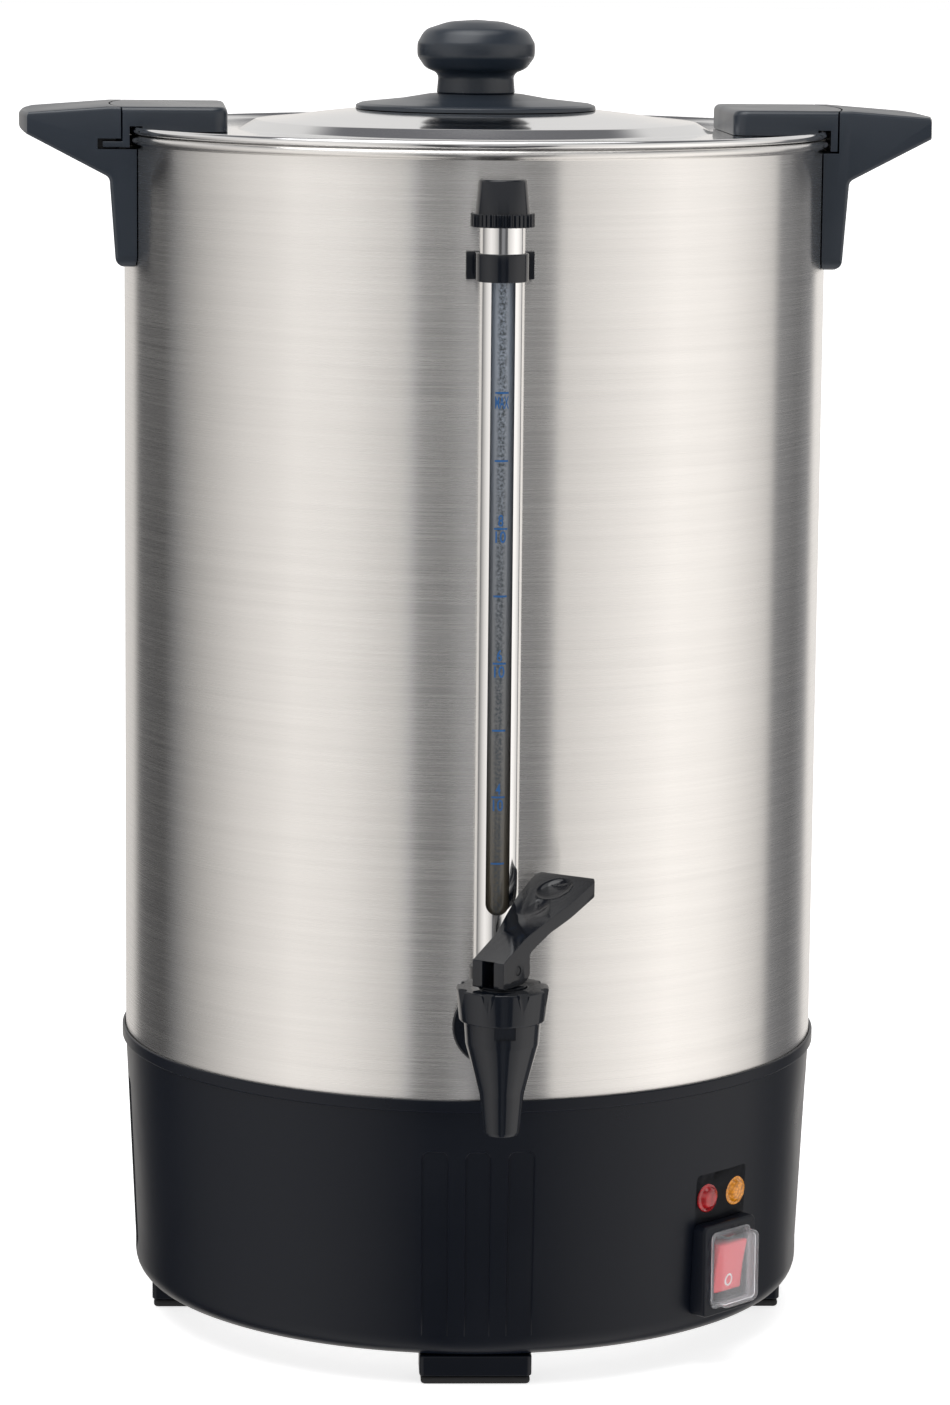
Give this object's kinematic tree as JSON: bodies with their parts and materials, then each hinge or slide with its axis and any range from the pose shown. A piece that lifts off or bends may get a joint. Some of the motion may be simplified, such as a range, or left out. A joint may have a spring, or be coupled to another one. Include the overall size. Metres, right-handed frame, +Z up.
{
  "type": "electric hot-drinks urn",
  "caption": "Tall steel drinks urn with a twist-lock lid, side handles, sight gauge, self-closing tap, black heater base, lamps and a covered switch.",
  "frame": {"origin": "centre of the bounding box, at table height under the feet", "axes": "+Z up; -Y is the front, where the tap and gauge are; the handles lie along X"},
  "size_m": [0.3652, 0.3575, 0.5263],
  "materials": {
    "tank_steel": "brushed round the tank",
    "polished_steel": "mirror polished",
    "zinc_steel": "zinc plated",
    "base_plastic": "satin",
    "handle_plastic": "satin, finely textured",
    "tap_plastic": "high gloss",
    "foot_rubber": "matte",
    "clear_silicone": "clear, soft",
    "red_rocker": "gloss",
    "red_lens": "clear red",
    "amber_lens": "clear amber, prismatic",
    "gauge_glass": "clear",
    "heater_aluminium": "as cast",
    "element_sheath": "heat tinted",
    "insulator": "matte"
  },
  "bodies": {
    "urn": {"tank_shell": "tank_steel", "base_housing": "base_plastic", "base_plate": "zinc_steel", "foot_back": "base_plastic", "foot_left": "base_plastic", "foot_front": "base_plastic", "foot_right": "base_plastic", "foot_pad_back": "foot_rubber", "foot_pad_left": "foot_rubber", "foot_pad_front": "foot_rubber", "foot_pad_right": "foot_rubber", "cord_gland": "foot_rubber", "terminal_block": "insulator", "lamp_red": "red_lens", "lamp_amber": "amber_lens", "switch_frame": "base_plastic", "switch_body": "base_plastic", "switch_boot": "clear_silicone", "tie_rod": "zinc_steel", "tie_nut": "zinc_steel", "heater_plate": "heater_aluminium", "heating_element": "element_sheath", "thermostat": "insulator", "thermal_cutout": "insulator", "handle_right": "handle_plastic", "handle_left": "handle_plastic", "handle_screw_right_upper": "zinc_steel", "handle_screw_right_lower": "zinc_steel", "handle_screw_left_upper": "zinc_steel", "handle_screw_left_lower": "zinc_steel", "gauge_shank": "tap_plastic", "shank_gasket": "foot_rubber", "shank_nut": "zinc_steel", "sight_glass": "gauge_glass", "gauge_seal": "foot_rubber", "gauge_guard": "polished_steel", "gauge_cap": "handle_plastic", "gauge_clip": "tap_plastic", "clip_screw": "zinc_steel", "tap_body": "tap_plastic", "tap_bonnet": "tap_plastic", "pump_tube": "tank_steel", "coffee_basket": "tank_steel", "basket_lid": "tank_steel"},
    "knob": {"knob_base": "handle_plastic", "lid_knob": "handle_plastic", "knob_screw": "zinc_steel"},
    "lid": {"lid": "polished_steel", "lid_ear_right": "handle_plastic", "lid_ear_left": "handle_plastic", "ear_screw_right_front": "zinc_steel", "ear_screw_right_back": "zinc_steel", "ear_screw_left_front": "zinc_steel", "ear_screw_left_back": "zinc_steel"},
    "washer": {"stem_washer": "insulator"},
    "stem": {"tap_stem": "tap_plastic", "seat_cup": "clear_silicone"},
    "lever": {"tap_lever": "tap_plastic", "lever_pin": "zinc_steel"},
    "rocker": {"switch_rocker": "red_rocker"}
  },
  "joints": [
    {"name": "lid_lift", "type": "slide", "parent": "urn", "child": "knob", "axis": [0, 0, 1], "range_m": [0, 0.12]},
    {"name": "lid_turn", "type": "hinge", "parent": "knob", "child": "lid", "pos_m": [0, 0.0317, 0.48], "axis": [0, 0, 1], "range_deg": [0, 360]},
    {"name": "lever_turn", "type": "hinge", "parent": "urn", "child": "washer", "pos_m": [0, -0.1613, 0.17], "axis": [0, 0, 1], "range_deg": [-280, 0]},
    {"name": "stem_lift", "type": "slide", "parent": "washer", "child": "stem", "axis": [0, 0, 1], "range_m": [0, 0.0057]},
    {"name": "lever_pull", "type": "hinge", "parent": "stem", "child": "lever", "pos_m": [0, -0.1613, 0.1801], "axis": [0.809, -0.5878, 0], "range_deg": [0, 35], "stiffness_Nm_per_rad": 0.2, "springref_deg": -11.46},
    {"name": "rocker_tip", "type": "hinge", "parent": "urn", "child": "rocker", "pos_m": [0.09539, -0.07023, 0.04], "axis": [-0.7302, -0.6833, 0], "range_deg": [0, 16]}
  ],
  "couplings": [
    {"joint": "lid_lift", "follows": "lid_turn", "m_per_rad": 0.019097},
    {"joint": "stem_lift", "follows": "lever_pull", "m_per_rad": 0.009167}
  ]
}
